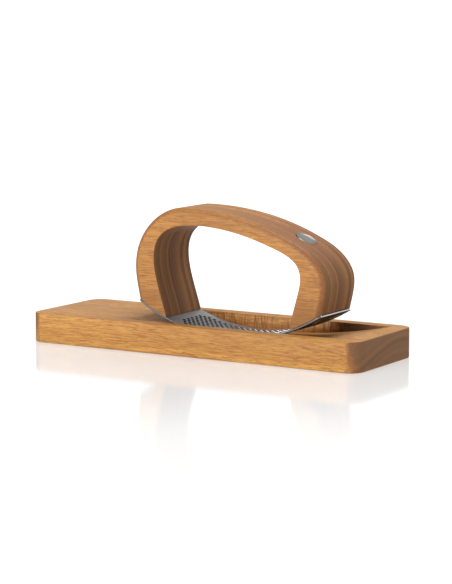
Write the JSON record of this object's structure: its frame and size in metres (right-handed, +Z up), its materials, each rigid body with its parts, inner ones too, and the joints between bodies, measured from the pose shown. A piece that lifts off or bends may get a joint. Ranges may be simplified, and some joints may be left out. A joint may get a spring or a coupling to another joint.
{
  "type": "rocking garlic press with board",
  "caption": "Wooden loop handle on a curved perforated steel blade, rocked over garlic in the hollow of a rectangular wooden board.",
  "frame": {"origin": "middle of the board's underside", "axes": "+Z up, +X along the board towards the end with the scoop, +Y across the board, away from the front"},
  "size_m": [0.264, 0.086, 0.1002],
  "materials": {
    "board_wood": "oiled",
    "handle_wood": "oiled",
    "blade_steel": "satin",
    "badge_steel": "polished",
    "screw_steel": "satin"
  },
  "bodies": {
    "board": {"board": "board_wood"},
    "press": {"handle": "handle_wood", "blade": "blade_steel", "badge": "badge_steel", "screw_left_front": "screw_steel", "screw_left_back": "screw_steel", "screw_right_front": "screw_steel", "screw_right_back": "screw_steel"}
  },
  "joints": [
    {"name": "press_lift", "type": "slide", "parent": "board", "child": "press", "axis": [0, 0, 1], "range_m": [0, 0.1]}
  ]
}
